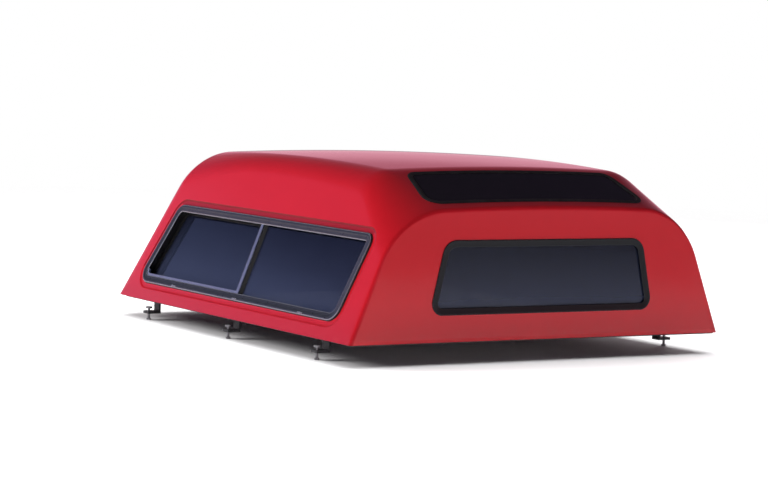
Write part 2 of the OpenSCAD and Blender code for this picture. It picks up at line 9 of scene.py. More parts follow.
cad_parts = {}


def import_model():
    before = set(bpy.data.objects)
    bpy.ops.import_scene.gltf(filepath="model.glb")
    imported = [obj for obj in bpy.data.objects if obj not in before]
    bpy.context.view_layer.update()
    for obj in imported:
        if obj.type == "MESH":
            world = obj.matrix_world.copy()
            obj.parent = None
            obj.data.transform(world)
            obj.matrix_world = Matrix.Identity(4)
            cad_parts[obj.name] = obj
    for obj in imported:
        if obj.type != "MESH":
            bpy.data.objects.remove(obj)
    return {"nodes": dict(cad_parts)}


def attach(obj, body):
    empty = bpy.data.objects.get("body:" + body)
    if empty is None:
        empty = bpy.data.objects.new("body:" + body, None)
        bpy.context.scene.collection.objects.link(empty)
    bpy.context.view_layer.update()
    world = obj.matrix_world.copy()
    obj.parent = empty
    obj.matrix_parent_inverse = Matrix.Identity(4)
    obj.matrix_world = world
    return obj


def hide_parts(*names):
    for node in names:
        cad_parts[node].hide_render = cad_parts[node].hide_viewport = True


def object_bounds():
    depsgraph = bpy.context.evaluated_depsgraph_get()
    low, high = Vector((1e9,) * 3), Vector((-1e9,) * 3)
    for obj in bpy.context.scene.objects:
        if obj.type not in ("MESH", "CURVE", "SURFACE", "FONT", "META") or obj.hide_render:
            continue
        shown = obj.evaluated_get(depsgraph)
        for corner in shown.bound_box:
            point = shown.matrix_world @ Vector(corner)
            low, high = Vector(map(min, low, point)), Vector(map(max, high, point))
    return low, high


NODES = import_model()["nodes"]
CAD_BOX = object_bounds()
MM = 0.001

# ---------------------------------------------------------------- the shell's surface
FOOT_HALF_WIDTH = 825.0                       # |y| of the side walls at z = 0
WALL_LEAN = 0.40                              # inward lean of the side walls, dy/dz
FRONT_X, REAR_X = 940.0, -898.0
REAR_LEAN = math.radians(18.68)               # forward lean of the rear face
ROOF_Z, ROOF_TILT, ROOF_SAG = 627.0, 0.0039, 3.66e-5    # roof line, a parabola in x
RAMP_FOOT_Z, RAMP_SLOPE = 484.0, 0.401        # sloping front part of the roof
RAMP_BLEND = 14.0                             # softness of the roof-to-ramp change
CROWN = 4.75e-5                               # sideways fall of the roof, per y * y
REAR_ROLL, FRONT_ROLL = 60.0, 14.0            # rounding of the rear and front edges
SKIN = 6.0
SHOULDER_FRONT, SHOULDER_ROOF, SHOULDER_REAR = 300.0, 126.0, 212.0    # shoulder radii
REAR_SHARE = 0.35                             # part of the length with the wider rear shoulder

LENGTH = FRONT_X - REAR_X
WALL_ANGLE = math.atan(WALL_LEAN)
WALL_COS, WALL_SIN = math.cos(WALL_ANGLE), math.sin(WALL_ANGLE)
REAR_SIN, REAR_COS = math.sin(REAR_LEAN), math.cos(REAR_LEAN)
RAMP_ANGLE = math.atan(RAMP_SLOPE)

OUTER_COUNTS = dict(wall=16, arc=30, roof=18, rear=12, length=110, front=8)
INNER_COUNTS = dict(wall=10, arc=16, roof=10, rear=6, length=60, front=4)


def smooth_min(a, b, width):
    h = max(0.0, min(1.0, 0.5 + 0.5 * (b - a) / width))
    return b * (1 - h) + a * h - width * h * (1 - h)


def crown_z(x):
    """Height of the surface on the centre line."""
    roof = ROOF_Z - ROOF_TILT * x - ROOF_SAG * x * x
    return smooth_min(roof, RAMP_FOOT_Z + (FRONT_X - x) * RAMP_SLOPE, RAMP_BLEND)


def shoulder_radius(t, z):
    """Radius at share t of the length from the rear, where the centre line is at z."""
    rise = max(0.0, min(1.0, (z - RAMP_FOOT_Z) / (ROOF_Z - RAMP_FOOT_Z)))
    radius = SHOULDER_FRONT + (SHOULDER_ROOF - SHOULDER_FRONT) * rise
    if t < REAR_SHARE:
        radius += (SHOULDER_REAR - SHOULDER_ROOF) * (1 - t / REAR_SHARE) ** 2
    return radius


def half_section(crown, radius, depth, foot_z, counts):
    """(y, z) points from a wall's foot to the centre line, depth inside the surface."""
    half_width = FOOT_HALF_WIDTH - depth / WALL_COS
    radius = max(radius - depth, 4.0)
    top = crown - depth

    def arc_centre(y):
        slant = math.sqrt(1 + (2 * CROWN * y) ** 2)
        return y - radius * 2 * CROWN * y / slant, top - CROWN * y * y - radius / slant

    # move the point where arc meets roof until the arc also touches the wall
    y = half_width - WALL_LEAN * crown - radius * 0.6
    for _ in range(40):
        cy, cz = arc_centre(y)
        y += 0.9 * ((half_width - WALL_LEAN * cz - cy) - radius / WALL_COS)
    cy, cz = arc_centre(y)
    end = math.pi / 2 - math.atan(2 * CROWN * y)
    arc_z = cz + radius * math.sin(WALL_ANGLE)
    points = [(half_width - WALL_LEAN * z, z)
              for z in np.linspace(foot_z, arc_z, counts["wall"] + 1)[:-1]]
    points += [(cy + radius * math.cos(a), cz + radius * math.sin(a))
               for a in np.linspace(WALL_ANGLE, end, counts["arc"] + 1)]
    points += [(v, top - CROWN * v * v) for v in np.linspace(y, 0, counts["roof"] + 1)[1:]]
    return points


# ---------------------------------------------------------------- mesh building
def mesh_from(name, verts, faces):
    mesh = bpy.data.meshes.new(name)
    mesh.from_pydata([tuple(float(c) * MM for c in v) for v in verts], [], faces)
    mesh.validate()
    bm = bmesh.new()
    bm.from_mesh(mesh)
    bmesh.ops.recalc_face_normals(bm, faces=bm.faces)
    bm.to_mesh(mesh)
    bm.free()
    mesh.update()
    return mesh


def band_faces(rows, n, start=0, closed=False):
    """Quads between successive loops of n points; closed joins the last to the first."""
    faces = []
    for row in range(rows if closed else rows - 1):
        a, b = start + row * n, start + (row + 1) % rows * n
        faces += [(a + i, a + (i + 1) % n, b + (i + 1) % n, b + i) for i in range(n)]
    return faces


def end_faces(rows, n, start=0, flip=False):
    first = tuple(range(start, start + n))
    last = tuple(range(start + (rows - 1) * n, start + rows * n))
    return [first, last[::-1]] if flip else [first[::-1], last]


def loft(name, loops, flip=False):
    """A solid through loops of equal point count."""
    rows, n = len(loops), len(loops[0])
    return mesh_from(name, [p for loop in loops for p in loop],
                     band_faces(rows, n) + end_faces(rows, n, flip=flip))


def body_mesh(name, depth, foot_z, counts):
    """The whole body, depth inside the outer surface, as rings from rear to front."""
    rear, front = REAR_X + depth / REAR_COS, FRONT_X - depth
    rear_roll, front_roll = REAR_ROLL - depth, max(FRONT_ROLL - depth, 2.0)
    # stations: (share of the length, further inset)
    stations = [(rear_roll * (1 - math.sin(a)) / (LENGTH * REAR_COS), rear_roll * (1 - math.cos(a)))
                for a in np.linspace(math.pi / 2, 0, counts["rear"] + 1)]
    plain = np.linspace(stations[-1][0], 1 - front_roll / LENGTH, counts["length"] + 1)[1:-1]
    stations += [(t, 0.0) for t in plain]
    stations += [(1 - front_roll * (1 - math.sin(a)) / LENGTH, front_roll * (1 - math.cos(a)))
                 for a in np.linspace(0, math.pi / 2, counts["front"] + 1)]
    rings = []
    for t, roll in stations:
        crown = crown_z(REAR_X + LENGTH * t)
        half = half_section(crown, shoulder_radius(t, crown), depth + roll, foot_z, counts)
        section = [(-y, z) for y, z in half] + [(y, z) for y, z in half[-2::-1]]
        rings.append([((rear + z * REAR_SIN / REAR_COS) * (1 - t) + front * t, y, z)
                      for y, z in section])
    return loft(name, rings, flip=True)


def local_frame(x, y, z, origin):
    frame = np.eye(4)
    frame[:3, 0], frame[:3, 1], frame[:3, 2], frame[:3, 3] = x, y, z, origin
    return frame


# flat frames on the cap's faces: local y runs up the face, local z points outward
SIDE_FRAMES = {
    "right": local_frame((1, 0, 0), (0, WALL_SIN, WALL_COS), (0, -WALL_COS, WALL_SIN),
                         (0, -FOOT_HALF_WIDTH, 0)),
    "left": local_frame((1, 0, 0), (0, -WALL_SIN, WALL_COS), (0, WALL_COS, WALL_SIN),
                        (0, FOOT_HALF_WIDTH, 0))}
REAR_FRAME = local_frame((0, -1, 0), (REAR_SIN, 0, REAR_COS), (-REAR_COS, 0, REAR_SIN),
                         (REAR_X, 0, 0))
RAMP_FRAME = local_frame((0, 1, 0), (-math.cos(RAMP_ANGLE), 0, math.sin(RAMP_ANGLE)),
                         (math.sin(RAMP_ANGLE), 0, math.cos(RAMP_ANGLE)),
                         (FRONT_X, 0, RAMP_FOOT_Z))
FRONT_FRAME = local_frame((0, 1, 0), (0, 0, 1), (1, 0, 0), (FRONT_X, 0, 0))


def at(frame, point):
    return np.asarray(point, float) @ frame[:3, :3].T + frame[:3, 3]


def placed(loop, w, frame):
    """A flat loop set at height w in a frame."""
    return [at(frame, (x, y, w)) for x, y in loop]


def unit(v):
    return v / np.linalg.norm(v)


def turn(count):
    """Angles evenly spaced round a full turn."""
    return np.linspace(0, 2 * math.pi, count + 1)[:-1]


def inset_polygon(points, insets):
    """Counter-clockwise polygon with each edge i -> i+1 moved inward by insets[i]."""
    points = [np.array(p, float) for p in points]
    out = []
    for i, b in enumerate(points):
        e1, e2 = unit(b - points[i - 1]), unit(points[(i + 1) % len(points)] - b)
        q1 = b + np.array([-e1[1], e1[0]]) * insets[i - 1]
        q2 = b + np.array([-e2[1], e2[0]]) * insets[i]
        t = np.linalg.solve(np.array([e1, -e2]).T, q2 - q1)
        out.append(q1 + e1 * t[0])
    return out


def corner(points, i, radius):
    """Directions to both neighbours, half the angle between them and the arc's centre."""
    b = points[i]
    d1, d2 = unit(points[i - 1] - b), unit(points[(i + 1) % len(points)] - b)
    half = math.acos(max(-1, min(1, float(d1 @ d2)))) / 2
    return d1, d2, half, b + unit(d1 + d2) * radius / math.sin(half)


def rounded(points, radii, n=12):
    """Rounds the corners of a convex counter-clockwise polygon."""
    points = [np.array(p, float) for p in points]
    out = []
    for i, r in enumerate(radii):
        d1, _, half, c = corner(points, i, r)
        p0 = points[i] + d1 * r / math.tan(half)
        a0 = math.atan2(p0[1] - c[1], p0[0] - c[0])
        for k in range(n + 1):
            a = a0 + (math.pi - 2 * half) * k / n
            out.append((c[0] + r * math.cos(a), c[1] + r * math.sin(a)))
    return out


def fillet(profile, radii, n=3):
    """Rounds the corners of any closed profile, hollow corners included."""
    points = [np.array(p, float) for p in profile]
    out = []
    for i, r in enumerate(radii):
        d1, d2, half, c = corner(points, i, r)
        t = r / math.tan(half)
        p0, p1 = points[i] + d1 * t, points[i] + d2 * t
        a0, a1 = math.atan2(*(p0 - c)[::-1]), math.atan2(*(p1 - c)[::-1])
        da = (a1 - a0 + math.pi) % (2 * math.pi) - math.pi
        out += [(c[0] + r * math.cos(a0 + da * j / n), c[1] + r * math.sin(a0 + da * j / n))
                for j in range(n + 1)]
    return out


def outline(shape, inset, edge_scale=None, n=12):
    """Rounded outline of a shape; edge_scale gives each edge its own share of the inset."""
    points, radii = shape
    scale = edge_scale or [1] * len(points)
    inner_radii = [max(r - inset * max(scale[i - 1], scale[i]), 1.2) for i, r in enumerate(radii)]
    return rounded(inset_polygon(points, [inset * s for s in scale]), inner_radii, n)


def run_splits(loop, step):
    """How many parts each run of a loop is split into."""
    ends = zip(loop, loop[1:] + loop[:1])
    return [max(1, int(np.linalg.norm(np.array(b) - np.array(a)) // step)) for a, b in ends]


def densify(loop, splits):
    out = []
    for i, k in enumerate(splits):
        a, b = np.array(loop[i]), np.array(loop[(i + 1) % len(loop)])
        out += [tuple(a + (b - a) * j / k) for j in range(k)]
    return out


def smooth(mesh, angle=35):
    mesh.shade_smooth()
    mesh.set_sharp_from_angle(angle=math.radians(angle))
    return mesh


def prism(name, loop, w0, w1, frame):
    return loft(name, [placed(loop, w0, frame), placed(loop, w1, frame)])


def sweep(name, shape, profile, frame, edge_scale=None, n=12, lift=None, step=None, angle=35):
    """A closed ring: the profile [(inset, height)] carried round the shape's outline."""
    if step:
        splits = run_splits(outline(shape, profile[0][0], edge_scale, n), step)
    verts = []
    for inset, w in profile:
        loop = outline(shape, inset, edge_scale, n)
        if step:
            loop = densify(loop, splits)
        verts += [at(frame, (x, y, w + (lift(x, y) if lift else 0))) for x, y in loop]
    return smooth(mesh_from(name, verts, band_faces(len(profile), len(loop), closed=True)), angle)


def add_object(mesh, name):
    obj = bpy.data.objects.new(name, mesh)
    bpy.context.scene.collection.objects.link(obj)
    return obj


def boolean(mesh, cutters, operation="DIFFERENCE"):
    work = add_object(mesh, "work")
    tools = [add_object(cutter, "cut") for cutter in cutters]
    for tool in tools:
        modifier = work.modifiers.new("boolean", "BOOLEAN")
        modifier.object, modifier.operation, modifier.solver = tool, operation, "EXACT"
    evaluated = work.evaluated_get(bpy.context.evaluated_depsgraph_get())
    result = bpy.data.meshes.new_from_object(evaluated)
    for obj in tools + [work]:
        bpy.data.objects.remove(obj)
    return result


# ---------------------------------------------------------------- openings
# shapes: (corners counter-clockwise from the lower left in the face's frame, corner radii)
SIDE_WINDOW = ([(-743, 71), (789, 71), (838, 411), (-630, 411)], [52, 62, 36, 57])
RAMP_WINDOW = ([(-496, 42), (496, 42), (456, 280), (-456, 280)], [56, 56, 48, 48])
FRONT_WINDOW = ([(-500, 96), (500, 96), (440, 366), (-440, 366)], [45, 45, 60, 60])
DOOR = ([(-752, -20), (752, -20), (541, 536), (-541, 536)], [34, 34, 118, 118])
MULLION_X = 54.0                              # fixed bar between the side panes
SASH_LEAD_X = 88.0                            # inner line of the sash's leading edge
SASH_INSET = 18


def rear_opening_half_width(v):
    return 711.4 - WALL_LEAN * REAR_COS * (v + 20)


# ---------------------------------------------------------------- materials
def rgba(colour):
    """A colour with full alpha; a plain number becomes a grey."""
    return (colour,) * 3 + (1,) if np.isscalar(colour) else tuple(colour) + (1,)


def shade(colour, gain, lift=0.0):
    return tuple(min(1, c * gain + lift) for c in colour)


class Net:
    """The node tree of a material or world, with short calls."""

    def __init__(self, owner, output="ShaderNodeOutputMaterial", coords="Object"):
        owner.use_nodes = True
        self.owner = owner
        self.tree = owner.node_tree
        self.tree.nodes.clear()
        self.output = self.node(output)
        self.coords = self.node("ShaderNodeTexCoord").outputs[coords]

    def put(self, socket, value):
        """Links an output socket, or sets a plain value."""
        if hasattr(value, "is_output"):
            self.tree.links.new(value, socket)
        else:
            socket.default_value = rgba(value) if socket.type == "RGBA" else value

    def node(self, kind, inputs=None, **props):
        node = self.tree.nodes.new(kind)
        for key, value in props.items():
            setattr(node, key, value)
        for key, value in (inputs or {}).items():
            self.put(node.inputs[key], value)
        return node

    def noise(self, scale, detail=4, rough=0.5, vector=None):
        inputs = {"Scale": scale, "Detail": detail, "Roughness": rough,
                  "Vector": vector or self.coords}
        return self.node("ShaderNodeTexNoise", inputs).outputs["Fac"]

    def cells(self, scale, output="Distance"):
        inputs = {"Scale": scale, "Vector": self.coords}
        return self.node("ShaderNodeTexVoronoi", inputs).outputs[output]

    def stripes(self, scale, axis, vector=None):
        inputs = {"Scale": scale, "Vector": vector or self.coords}
        return self.node("ShaderNodeTexWave", inputs, wave_type="BANDS",
                         bands_direction=axis).outputs["Fac"]

    def scaled(self, x, y, z):
        inputs = {"Scale": (x, y, z), "Vector": self.coords}
        return self.node("ShaderNodeMapping", inputs).outputs["Vector"]

    def axes(self):
        return self.node("ShaderNodeSeparateXYZ", {0: self.coords}).outputs

    def stops(self, fac, stops, interpolation="LINEAR"):
        """Colour ramp from a list of (position, colour)."""
        node = self.node("ShaderNodeValToRGB", {"Fac": fac})
        node.color_ramp.interpolation = interpolation
        elements = node.color_ramp.elements
        while len(elements) < len(stops):
            elements.new(0.5)
        for element, (position, colour) in zip(elements, stops):
            element.position = position
            element.color = rgba(colour)
        return node.outputs["Color"]

    def ramp(self, fac, lo, hi, at_lo=0.0, at_hi=1.0):
        return self.stops(fac, [(lo, at_lo), (hi, at_hi)])

    def math(self, operation, a, b, c=0.0):
        return self.node("ShaderNodeMath", {0: a, 1: b, 2: c}, operation=operation).outputs[0]

    def multiply(self, a, b):
        return self.math("MULTIPLY", a, b)

    def vary(self, base, by, amount):
        """base + by * amount"""
        return self.math("ADD", base, self.multiply(by, amount))

    def mix(self, fac, a, b, amount=None):
        if amount is not None:
            fac = self.multiply(fac, amount)
        inputs = {"Factor": fac, 6: a, 7: b}
        return self.node("ShaderNodeMix", inputs, data_type="RGBA").outputs[2]

    def bump(self, height, strength, depth, normal=None):
        inputs = {"Strength": strength, "Distance": depth, "Height": height}
        if normal is not None:
            inputs["Normal"] = normal
        return self.node("ShaderNodeBump", inputs).outputs["Normal"]

    def edge(self, lo, hi):
        """Mask of the outward edges."""
        pointiness = self.node("ShaderNodeNewGeometry").outputs["Pointiness"]
        return self.ramp(pointiness, lo, hi)

    def mix_shader(self, fac, a, b):
        return self.node("ShaderNodeMixShader", {0: fac, 1: a.outputs[0], 2: b.outputs[0]})

    def principled(self, inputs):
        return self.node("ShaderNodeBsdfPrincipled", inputs)

    def finish(self, shader):
        self.put(self.output.inputs["Surface"], shader.outputs[0])
        return self.owner


def material_net(name):
    return Net(bpy.data.materials.new(name))


def paint(name, dark, light, coat):
    net = material_net(name)
    height = net.axes()["Z"]
    colour = net.mix(net.noise(scale=2.2, detail=3), dark, light)
    # a little road dust near the rails
    dust = net.multiply(net.ramp(height, lo=0.0, hi=0.07, at_lo=1.0, at_hi=0.0),
                        net.ramp(net.noise(scale=22, detail=6, rough=0.7), lo=0.45, hi=0.8))
    colour = net.mix(dust, colour, (0.30, 0.16, 0.14), amount=0.10)
    # painted shade: deeper colour low down on the walls
    uneven_height = net.vary(height, by=net.noise(scale=3, detail=3), amount=0.03)
    low = net.ramp(uneven_height, lo=0.02, hi=0.16, at_lo=1.0, at_hi=0.0)
    colour = net.mix(low, colour, shade(dark, gain=0.55), amount=0.34)
    flake = net.ramp(net.cells(scale=1300), lo=0.0, hi=0.22, at_lo=1.0, at_hi=0.0)
    colour = net.mix(flake, colour, (0.90, 0.10, 0.10), amount=0.07)
    swirl = net.ramp(net.noise(scale=60, detail=8, rough=0.75, vector=net.scaled(1, 1, 3)),
                     lo=0.45, hi=0.8, at_lo=0.012, at_hi=0.05)
    return net.finish(net.principled({
        "Base Color": colour, "Roughness": 0.42, "Metallic": 0.0, "Specular IOR Level": 0.25,
        "Coat Weight": coat, "Coat Roughness": net.vary(swirl, by=dust, amount=0.12),
        "Coat IOR": 1.5,
        "Normal": net.bump(net.noise(scale=900, detail=2), strength=0.02, depth=0.0003),
        "Coat Normal": net.bump(net.noise(scale=230, detail=2), strength=0.045, depth=0.0006)}))


def shell_inside():
    """Rolled resin and glass seen from below."""
    net = material_net("cap_inside")
    cells = net.cells(scale=55)
    colour = net.mix(net.noise(scale=30, detail=6, rough=0.7),
                     (0.40, 0.40, 0.39), (0.50, 0.50, 0.49))
    colour = net.mix(net.ramp(cells, lo=0.2, hi=0.6, at_hi=0.35), colour, (0.30, 0.30, 0.30))
    fine = net.bump(net.noise(scale=240, detail=5, rough=0.7), strength=0.3, depth=0.001)
    return net.finish(net.principled({
        "Base Color": colour, "Roughness": 0.6,
        "Normal": net.bump(cells, strength=0.35, depth=0.0015, normal=fine)}))


def anodised(name, base, bright, rough, metal):
    net = material_net(name)
    grain = net.noise(scale=90, rough=0.6, vector=net.scaled(0.4, 14, 14))
    colour = net.mix(net.ramp(grain, lo=0.35, hi=0.7), base, shade(base, gain=1.25))
    # edges lighter in patches: partly wear, partly painted highlight
    patches = net.ramp(net.noise(scale=120, detail=6, rough=0.7), lo=0.45, hi=0.7, at_lo=0.1)
    wear_and_highlight = net.multiply(net.edge(lo=0.53, hi=0.62), patches)
    colour = net.mix(wear_and_highlight, colour, bright, amount=0.6)
    blotches = net.noise(scale=45, detail=6, rough=0.7)
    return net.finish(net.principled({
        "Base Color": colour, "Metallic": metal,
        "Roughness": net.vary(rough - 0.05, by=blotches, amount=0.12),
        "Normal": net.bump(grain, strength=0.06, depth=0.0004)}))


def rubber(name, base):
    net = material_net(name)
    bloom = net.ramp(net.noise(scale=22, detail=6, rough=0.7), lo=0.35, hi=0.8)
    colour = net.mix(bloom, base, shade(base, gain=2.1))
    # painted highlight: lighter edges
    colour = net.mix(net.edge(lo=0.52, hi=0.62), colour, (0.10, 0.10, 0.10), amount=0.35)
    return net.finish(net.principled({
        "Base Color": colour, "Roughness": net.vary(0.55, by=net.noise(scale=40), amount=0.25),
        "Specular IOR Level": 0.35,
        "Normal": net.bump(net.noise(scale=700, rough=0.6), strength=0.25, depth=0.0005)}))


def foam():
    net = material_net("rail_foam")
    colour = net.mix(net.noise(scale=30, detail=5), (0.02, 0.02, 0.021), (0.05, 0.05, 0.052))
    return net.finish(net.principled({
        "Base Color": colour, "Roughness": 0.92,
        "Normal": net.bump(net.cells(scale=420), strength=0.7, depth=0.0008)}))


def plastic(name, base, grain=520, rough=0.45):
    net = material_net(name)
    colour = net.mix(net.noise(scale=18, detail=5, rough=0.6), base,
                     shade(base, gain=1.35, lift=0.004))
    # painted highlight: lighter edges
    colour = net.mix(net.edge(lo=0.53, hi=0.64), colour, shade(base, gain=1.6, lift=0.05),
                     amount=0.3)
    uneven = net.noise(scale=60, detail=5)
    return net.finish(net.principled({
        "Base Color": colour, "Roughness": net.vary(rough - 0.06, by=uneven, amount=0.14),
        "Normal": net.bump(net.cells(scale=grain), strength=0.22, depth=0.0004)}))


def steel(name, base, rough, spangle):
    net = material_net(name)
    grain = net.noise(scale=140, detail=5, rough=0.65, vector=net.scaled(1, 1, 9))
    spots = net.ramp(net.cells(scale=160, output="Color"), lo=0.2, hi=0.9)
    colour = net.mix(spots, base, shade(base, gain=0.72), amount=spangle)
    # painted highlight: lighter edges
    colour = net.mix(net.edge(lo=0.53, hi=0.62), colour, shade(base, gain=1.2, lift=0.08),
                     amount=0.5)
    return net.finish(net.principled({
        "Base Color": colour, "Metallic": 1.0,
        "Roughness": net.vary(rough - 0.06, by=grain, amount=0.16),
        "Normal": net.bump(grain, strength=0.07, depth=0.0003)}))


def powder_coat():
    base = (0.022, 0.022, 0.024)
    net = material_net("powder_black")
    colour = net.mix(net.noise(scale=25, detail=5), base, shade(base, gain=1.7))
    chips = net.multiply(net.edge(lo=0.55, hi=0.66),
                         net.ramp(net.noise(scale=200, detail=5, rough=0.7), lo=0.55, hi=0.66))
    colour = net.mix(chips, colour, (0.33, 0.33, 0.34), amount=0.7)
    texture = net.noise(scale=1100, detail=3, rough=0.6)
    return net.finish(net.principled({
        "Base Color": colour, "Roughness": net.vary(0.36, by=net.noise(scale=70), amount=0.14),
        "Metallic": 0.1, "Normal": net.bump(texture, strength=0.3, depth=0.0003)}))


def tinted_glass(name, tint, alpha, foot=None):
    """Tinted sheet with a faint haze; foot is the lighter, bluer colour of its lower part, a
    painted reflection.
    """
    net = material_net(name)
    haze = net.ramp(net.noise(scale=9, detail=7, rough=0.7), lo=0.4, hi=0.9)
    colour = net.mix(haze, tint, shade(tint, gain=1.9, lift=0.006), amount=0.25)
    # painted reflection: the lower part of the pane lighter and bluer
    if foot:
        height = net.vary(net.axes()["Z"], by=net.noise(scale=6, detail=5), amount=0.04)
        low = net.stops(height, [(0.08, 1.0), (0.24, 0.38), (0.40, 0.0)])
        colour = net.mix(low, colour, foot)
    return net.finish(net.principled({
        "Base Color": colour, "Roughness": net.vary(0.015, by=haze, amount=0.05), "IOR": 1.5,
        "Specular IOR Level": 0.5, "Alpha": alpha,
        "Normal": net.bump(net.noise(scale=5, detail=2), strength=0.015, depth=0.004)}))


def lens(name, tint, alpha, ribs):
    net = material_net(name)
    colour = net.mix(net.noise(scale=40), tint, shade(tint, gain=1.3, lift=0.01))
    return net.finish(net.principled({
        "Base Color": colour, "Roughness": 0.12, "Alpha": alpha, "Coat Weight": 0.6,
        "Normal": net.bump(net.stripes(ribs, axis="Y"), strength=0.3, depth=0.0006)}))


def cloth():
    net = material_net("lining_cloth")
    fuzz = net.noise(scale=900, detail=6, rough=0.8)
    colour = net.mix(net.noise(scale=7, detail=5, rough=0.6),
                     (0.17, 0.17, 0.18), (0.25, 0.25, 0.26))
    colour = net.mix(net.ramp(fuzz, lo=0.35, hi=0.75, at_hi=0.6), colour, (0.36, 0.36, 0.37))
    waves = net.bump(net.noise(scale=60), strength=0.2, depth=0.002)
    return net.finish(net.principled({
        "Base Color": colour, "Roughness": 0.95, "Sheen Weight": 0.5, "Sheen Roughness": 0.6,
        "Normal": net.bump(fuzz, strength=0.6, depth=0.001, normal=waves)}))


def insect_screen():
    """Fine threads with open squares between."""
    net = material_net("screen_weave")
    threads = [net.ramp(net.stripes(scale=110, axis=axis, vector=net.scaled(1, 1.077, 1)),
                        lo=0.55, hi=0.7) for axis in "XY"]
    weave = net.math("MAXIMUM", *threads)
    colour = net.mix(net.noise(scale=50), (0.02, 0.02, 0.02), (0.05, 0.05, 0.05))
    return net.finish(net.principled({
        "Base Color": colour, "Roughness": 0.6, "Alpha": net.vary(0.35, by=weave, amount=0.5),
        "Normal": net.bump(weave, strength=0.4, depth=0.0004)}))


PAINT = paint("cap_paint", dark=(0.545, 0.0075, 0.0150), light=(0.585, 0.0095, 0.0185), coat=1.0)
INSIDE = shell_inside()
# painted shade: darker paint for the recess walls that face downward
PAINT_SHADE_WALL = paint("cap_paint_shade_wall", dark=(0.205, 0.003, 0.006),
                     light=(0.235, 0.004, 0.008), coat=0.3)
# painted shade: darker paint for the recess floor above the window
PAINT_SHADE_FLOOR = paint("cap_paint_shade_floor", dark=(0.30, 0.005, 0.010),
                        light=(0.34, 0.006, 0.012), coat=0.5)
BLACK = anodised("frame_black", base=(0.020, 0.021, 0.024), bright=(0.34, 0.35, 0.38),
                 rough=0.30, metal=0.55)
GREY = anodised("frame_grey", base=(0.085, 0.090, 0.105), bright=(0.55, 0.56, 0.60),
                rough=0.28, metal=0.75)
# painted highlight: lighter aluminium for the frame's narrow steps and the weep hoods
HIGHLIGHT_ALU = anodised("frame_highlight", base=(0.34, 0.35, 0.40), bright=(0.66, 0.67, 0.72),
                rough=0.24, metal=0.7)
BRIGHT = anodised("bright_alu", base=(0.60, 0.61, 0.64), bright=(0.86, 0.87, 0.90),
                  rough=0.24, metal=0.95)
RUBBER = rubber("rubber", base=(0.018, 0.018, 0.019))
FOAM = foam()
STEEL = steel("zinc_steel", base=(0.50, 0.51, 0.52), rough=0.34, spangle=0.5)
CHROME = steel("hard_chrome", base=(0.74, 0.75, 0.77), rough=0.12, spangle=0.06)
POWDER = powder_coat()
PLASTIC = plastic("black_plastic", base=(0.022, 0.022, 0.024))
WHITE = plastic("white_plastic", base=(0.62, 0.62, 0.60), grain=600, rough=0.5)
# foot: painted reflection, lighter and bluer low on the panes
GLASS = tinted_glass("tinted_glass", tint=(0.0035, 0.0045, 0.012), alpha=0.94,
                     foot=(0.034, 0.042, 0.082))
GLASS_TOP = tinted_glass("tinted_glass_top", tint=(0.008, 0.004, 0.008), alpha=0.97)
RED_LENS = lens("red_lens", tint=(0.42, 0.008, 0.010), alpha=0.92, ribs=160)
CLEAR_LENS = lens("clear_lens", tint=(0.75, 0.75, 0.73), alpha=0.75, ribs=120)
CLOTH = cloth()
SCREEN = insect_screen()
# painted shade: near-black for the sash and the glazing strip, standing in for the shade round the
# panes; the strip is partly a real dark gasket
SHADE_BLACK = rubber("shade_black", base=(0.004, 0.004, 0.005))


# ---------------------------------------------------------------- dressing and adding parts
def add_bevel(name, width, segments):
    modifier = NODES[name].modifiers.new("bevel", "BEVEL")
    modifier.width, modifier.segments = width * MM, segments
    modifier.limit_method, modifier.angle_limit = "ANGLE", math.radians(40)
    modifier.use_clamp_overlap = True
    modifier.harden_normals = False


def dress(name, material, bevel=0):
    """Gives a CAD piece its material and, where a width is given, soft edges."""
    materials = NODES[name].data.materials
    materials.clear()
    materials.append(material)
    if bevel:
        add_bevel(name, bevel, 3 if bevel > 1 else 2)


def add_part(mesh, part, material, body="cap", replaces=True):
    """Adds a built mesh, in place of the CAD piece of the same name if there is one."""
    obj = add_object(mesh, part + "_v")
    mesh.materials.clear()
    mesh.materials.append(material)
    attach(obj, body)
    if replaces:
        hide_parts(part)


# ---------------------------------------------------------------- shell
# (inset, height) of the hollow round a side window: flat floor, softly curved walls
RECESS_PROFILE = [
    (-2.4, -3.02), (-17.5, -3.0), (-18.8, -2.88), (-20.2, -2.5), (-21.8, -1.8), (-23.4, -1.05),
    (-24.9, -0.45), (-26.4, -0.1), (-27.6, 0.1), (-28.6, 0.5), (-30, 40)]
# the foot flange runs along both sides and the front
FLANGE_REAR_X, FLANGE_FRONT_X, FLANGE_Y = REAR_X + 70, 880, 765
BEYOND_X, BEYOND_Y = 1500, 1200               # clear of the body
BOLT_X, BOLT_Y, BOLT_HOLE_RADIUS = 330, 774, 4.5
OPENING_FOOT, OPENING_TOP = -80, 498          # rear opening, up the rear face


def recess_cutter(side):
    return loft("recess", [placed(outline(SIDE_WINDOW, inset, n=14), w, SIDE_FRAMES[side])
                           for inset, w in RECESS_PROFILE])


